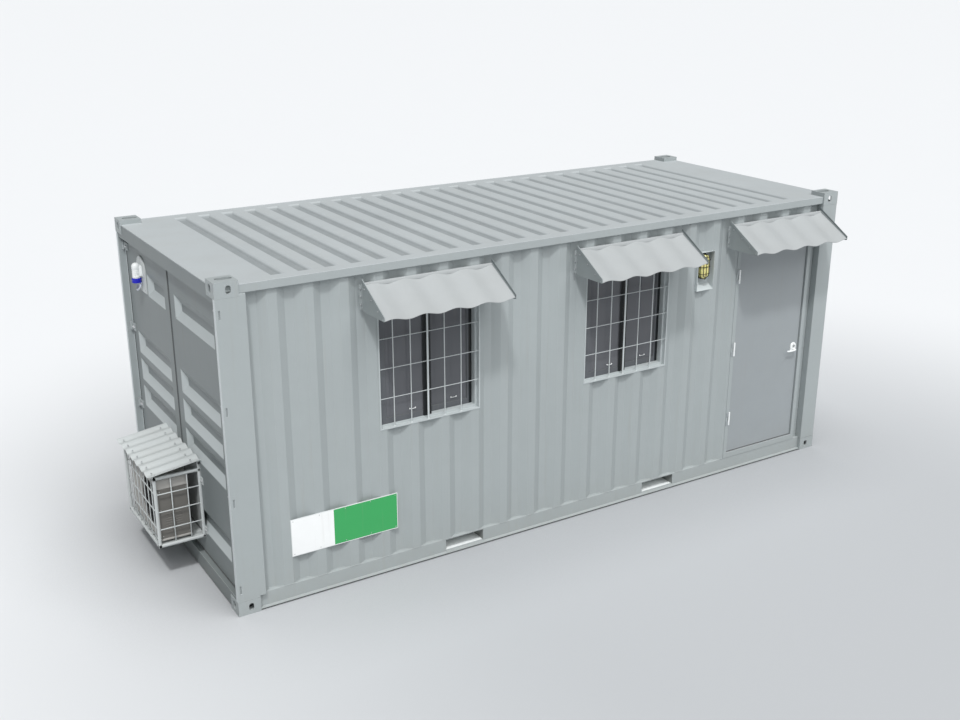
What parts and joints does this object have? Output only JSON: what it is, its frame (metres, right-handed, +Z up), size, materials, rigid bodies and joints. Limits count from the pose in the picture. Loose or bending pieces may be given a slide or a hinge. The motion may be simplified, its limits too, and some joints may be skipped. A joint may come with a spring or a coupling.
{
  "type": "shipping container cabin",
  "caption": "Steel shipping container fitted out as a cabin, with side door, barred sliding windows, awnings, fixed cargo doors and a caged cooling unit.",
  "frame": {"origin": "on the ground, under the middle of the container: the centre of the four bottom twistlock apertures", "axes": "+X along the length from the cargo doors to the plain end, +Y from the side with the windows to the rear, +Z up"},
  "size_m": [6.4258, 2.7547, 2.591],
  "materials": {
    "casting_steel": "semi-gloss grey paint over cast steel",
    "frame_paint": "light grey container paint",
    "wall_paint": "light grey container paint on corrugated steel",
    "roof_paint": "light grey container paint on pressed steel",
    "leaf_paint": "light grey container paint on the cargo doors",
    "underframe_paint": "dark grey underbody coating",
    "deck_board": "insulated plywood deck",
    "lining": "white faced insulated panel",
    "gasket_rubber": "black door gasket",
    "window_frame_paint": "light grey powder coat",
    "sash_black": "black anodised sash",
    "window_glass": "grey tinted glass",
    "awning_paint": "near white powder coat",
    "gusset_paint": "grey powder coat",
    "lamp_black": "black lamp base",
    "lamp_lens": "warm prismatic lens",
    "sign_enamel": "two-tone enamelled plate",
    "door_paint": "blue-grey door paint",
    "hinge_white": "white hinge",
    "handle_white": "satin light lever",
    "inlet_white": "white moulded plastic",
    "inlet_blue": "blue moulded plastic",
    "cage_paint": "light grey powder coat",
    "unit_casing": "off white sheet casing"
  },
  "bodies": {
    "cabin": {"bottom_castings": "casting_steel", "top_castings": "casting_steel", "cargo_end_posts": "frame_paint", "plain_end_posts": "frame_paint", "front_bottom_rail": "frame_paint", "rear_bottom_rail": "frame_paint", "rail_straps": "frame_paint", "front_top_rail": "frame_paint", "rear_top_rail": "frame_paint", "cargo_end_sill": "leaf_paint", "cargo_end_header": "leaf_paint", "plain_end_sill": "frame_paint", "plain_end_header": "frame_paint", "cross_members": "underframe_paint", "fork_pocket_sides": "underframe_paint", "fork_pocket_plates": "underframe_paint", "floor_deck": "deck_board", "roof_sheet": "roof_paint", "ceiling_panel": "lining", "front_wall": "wall_paint", "front_wall_infills": "wall_paint", "rear_wall": "wall_paint", "plain_end_wall": "wall_paint", "front_lining": "lining", "front_lining_infills": "lining", "rear_lining": "lining", "end_linings": "lining", "front_cargo_leaf": "leaf_paint", "rear_cargo_leaf": "leaf_paint", "cargo_hinges": "leaf_paint", "cargo_gaskets": "gasket_rubber", "left_window_frame": "window_frame_paint", "right_window_frame": "window_frame_paint", "left_window_sashes": "sash_black", "right_window_sashes": "sash_black", "window_glass": "window_glass", "left_awning": "awning_paint", "middle_awning": "awning_paint", "right_awning": "awning_paint", "awning_gussets": "gusset_paint", "light_niche": "window_frame_paint", "lamp_base": "lamp_black", "lamp_lens": "lamp_lens", "sign_plate": "sign_enamel", "door_frame": "frame_paint", "door_hinges": "hinge_white", "inlet_plate": "frame_paint", "inlet_body": "inlet_white", "inlet_collar": "inlet_blue", "cage_front": "cage_paint", "cage_sides": "cage_paint", "cage_floor": "cage_paint", "cage_roof": "cage_paint", "cooling_unit": "unit_casing"},
    "door": {"door_leaf": "door_paint", "door_hinge_leaves": "hinge_white"},
    "handle": {"door_handle": "handle_white"}
  },
  "joints": [
    {"name": "door_swing", "type": "hinge", "parent": "cabin", "child": "door", "pos_m": [1.879, -1.186, 1.2], "axis": [0, 0, -1], "range_deg": [0, 100]},
    {"name": "lever_turn", "type": "hinge", "parent": "door", "child": "handle", "pos_m": [2.666, -1.151, 1.09], "axis": [0, -1, 0], "range_deg": [0, 40], "stiffness_Nm_per_rad": 2, "springref_deg": -22.92}
  ]
}
